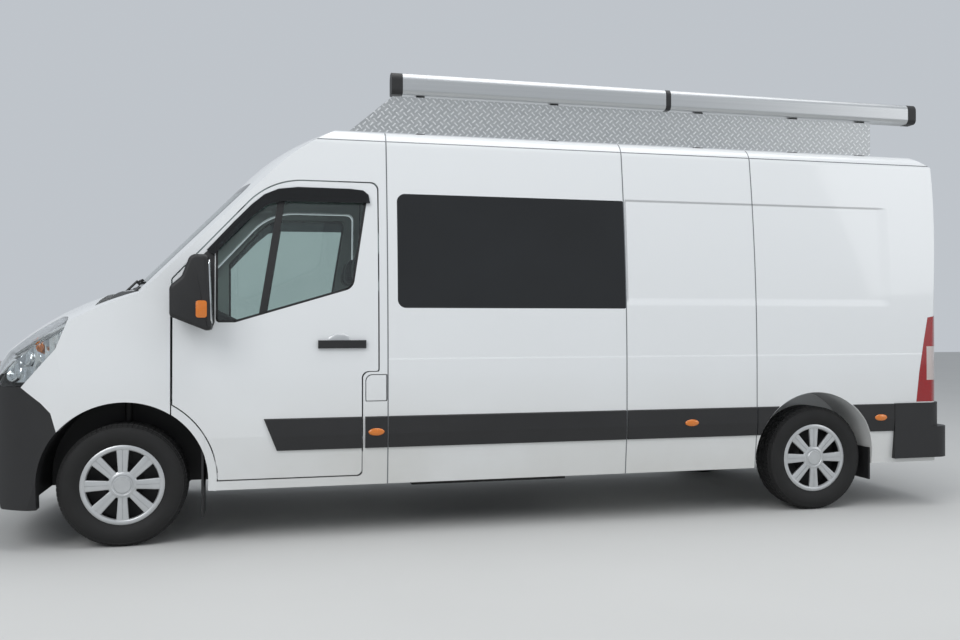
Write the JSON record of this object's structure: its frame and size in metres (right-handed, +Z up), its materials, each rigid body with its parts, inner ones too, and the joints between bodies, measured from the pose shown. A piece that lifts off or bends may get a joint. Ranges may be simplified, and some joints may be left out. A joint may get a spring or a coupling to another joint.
{
  "type": "camper van",
  "caption": "High-roofed camper van with hinged cab and rear doors, bonnet, steering, turning wheels and roof-edge awnings.",
  "frame": {"origin": "centre of the vehicle's box, on the ground", "axes": "front towards -X, left side towards -Y, +Z up"},
  "size_m": [6.1959, 2.48, 2.788],
  "materials": {
    "awning_metal": "anodised aluminium",
    "black_plastic": "grained black polypropylene",
    "body_paint": "gloss white paint",
    "chassis_steel": "painted steel and iron",
    "clear_glass": "toughened glass",
    "cover_silver": "silver painted plastic",
    "dark_glass": "privacy glass",
    "dash_plastic": "moulded plastic",
    "headlamp_lens": "clear polycarbonate",
    "seat_fabric": "woven fabric",
    "tail_lens": "red acrylic",
    "tread_plate": "aluminium chequer plate",
    "tyre": "rubber",
    "wheel_steel": "painted steel"
  },
  "bodies": {
    "van": {"arch_liners": "black_plastic", "awning_fittings": "black_plastic", "awnings": "awning_metal", "cab_frames": "body_paint", "cowl": "black_plastic", "dashboard": "dash_plastic", "engine_block": "chassis_steel", "exhaust": "chassis_steel", "floor_pan": "body_paint", "front_bumper": "black_plastic", "front_subframe": "chassis_steel", "front_wings": "body_paint", "fuel_tank": "chassis_steel", "grille": "black_plastic", "headlamps": "headlamp_lens", "rear_axle": "chassis_steel", "rear_bumper": "black_plastic", "rear_mud_flaps": "black_plastic", "roof_panel": "body_paint", "roof_skirt": "tread_plate", "seats": "seat_fabric", "side_mouldings": "black_plastic", "side_wall_left": "body_paint", "side_wall_right": "body_paint", "side_windows": "dark_glass", "sliding_door_right": "body_paint", "spare_wheel": "chassis_steel", "tail_lamps": "tail_lens", "windscreen": "clear_glass"},
    "bonnet": {"bonnet": "body_paint"},
    "wheel_front_left": {"cover_front_left": "cover_silver", "rim_front_left": "wheel_steel", "tyre_front_left": "tyre"},
    "wheel_front_right": {"cover_front_right": "cover_silver", "rim_front_right": "wheel_steel", "tyre_front_right": "tyre"},
    "wheel_rear_left": {"cover_rear_left": "cover_silver", "rim_rear_left": "wheel_steel", "tyre_rear_left": "tyre"},
    "wheel_rear_right": {"cover_rear_right": "cover_silver", "rim_rear_right": "wheel_steel", "tyre_rear_right": "tyre"},
    "front_door_left": {"door_glass_left": "clear_glass", "door_trim_left": "black_plastic", "front_door_left": "body_paint"},
    "front_door_right": {"door_glass_right": "clear_glass", "door_trim_right": "black_plastic", "front_door_right": "body_paint"},
    "fuel_flap": {"fuel_flap": "body_paint"},
    "knuckle_left": {"knuckle_left": "chassis_steel"},
    "knuckle_right": {"knuckle_right": "chassis_steel"},
    "rear_door_left": {"rear_door_left": "body_paint", "rear_window_left": "dark_glass"},
    "rear_door_right": {"rear_door_right": "body_paint", "rear_window_right": "dark_glass"},
    "steering_wheel": {"steering_wheel": "dash_plastic"}
  },
  "joints": [
    {"name": "front_door_left_hinge", "type": "hinge", "parent": "van", "child": "front_door_left", "pos_m": [-1.978, -1.027, 1.2], "axis": [0, 0, -1], "range_deg": [0, 60]},
    {"name": "front_door_right_hinge", "type": "hinge", "parent": "van", "child": "front_door_right", "pos_m": [-1.978, 1.027, 1.2], "axis": [0, 0, 1], "range_deg": [0, 60]},
    {"name": "rear_door_left_hinge", "type": "hinge", "parent": "van", "child": "rear_door_left", "pos_m": [3.04, -0.88, 1.4], "axis": [0, 0, -1], "range_deg": [0, 180]},
    {"name": "rear_door_right_hinge", "type": "hinge", "parent": "van", "child": "rear_door_right", "pos_m": [3.04, 0.88, 1.4], "axis": [0, 0, 1], "range_deg": [0, 180]},
    {"name": "bonnet_hinge", "type": "hinge", "parent": "van", "child": "bonnet", "pos_m": [-2.385, 0, 1.4], "axis": [0, 1, 0], "range_deg": [0, 60]},
    {"name": "fuel_flap_hinge", "type": "hinge", "parent": "van", "child": "fuel_flap", "pos_m": [-0.798, -1.03, 0.871], "axis": [0, 0, 1], "range_deg": [0, 90]},
    {"name": "steer_left", "type": "hinge", "parent": "van", "child": "knuckle_left", "pos_m": [-2.257, -0.795, 0.345], "axis": [0, 0, 1], "range_deg": [-35, 35]},
    {"name": "steer_right", "type": "hinge", "parent": "van", "child": "knuckle_right", "pos_m": [-2.257, 0.795, 0.345], "axis": [0, 0, 1], "range_deg": [-35, 35]},
    {"name": "steering_wheel_turn", "type": "hinge", "parent": "van", "child": "steering_wheel", "pos_m": [-1.74, -0.43, 1.3], "axis": [0.4695, 0, 0.8829], "range_deg": [-560, 560]},
    {"name": "spin_front_left", "type": "hinge", "parent": "knuckle_left", "child": "wheel_front_left", "pos_m": [-2.257, -0.87, 0.345], "axis": [0, 1, 0], "continuous": true},
    {"name": "spin_front_right", "type": "hinge", "parent": "knuckle_right", "child": "wheel_front_right", "pos_m": [-2.257, 0.87, 0.345], "axis": [0, 1, 0], "continuous": true},
    {"name": "spin_rear_left", "type": "hinge", "parent": "van", "child": "wheel_rear_left", "pos_m": [2.075, -0.87, 0.345], "axis": [0, 1, 0], "continuous": true},
    {"name": "spin_rear_right", "type": "hinge", "parent": "van", "child": "wheel_rear_right", "pos_m": [2.075, 0.87, 0.345], "axis": [0, 1, 0], "continuous": true}
  ],
  "couplings": [
    {"joint": "steer_right", "follows": "steer_left", "ratio": 1},
    {"joint": "steering_wheel_turn", "follows": "steer_left", "ratio": 16}
  ]
}
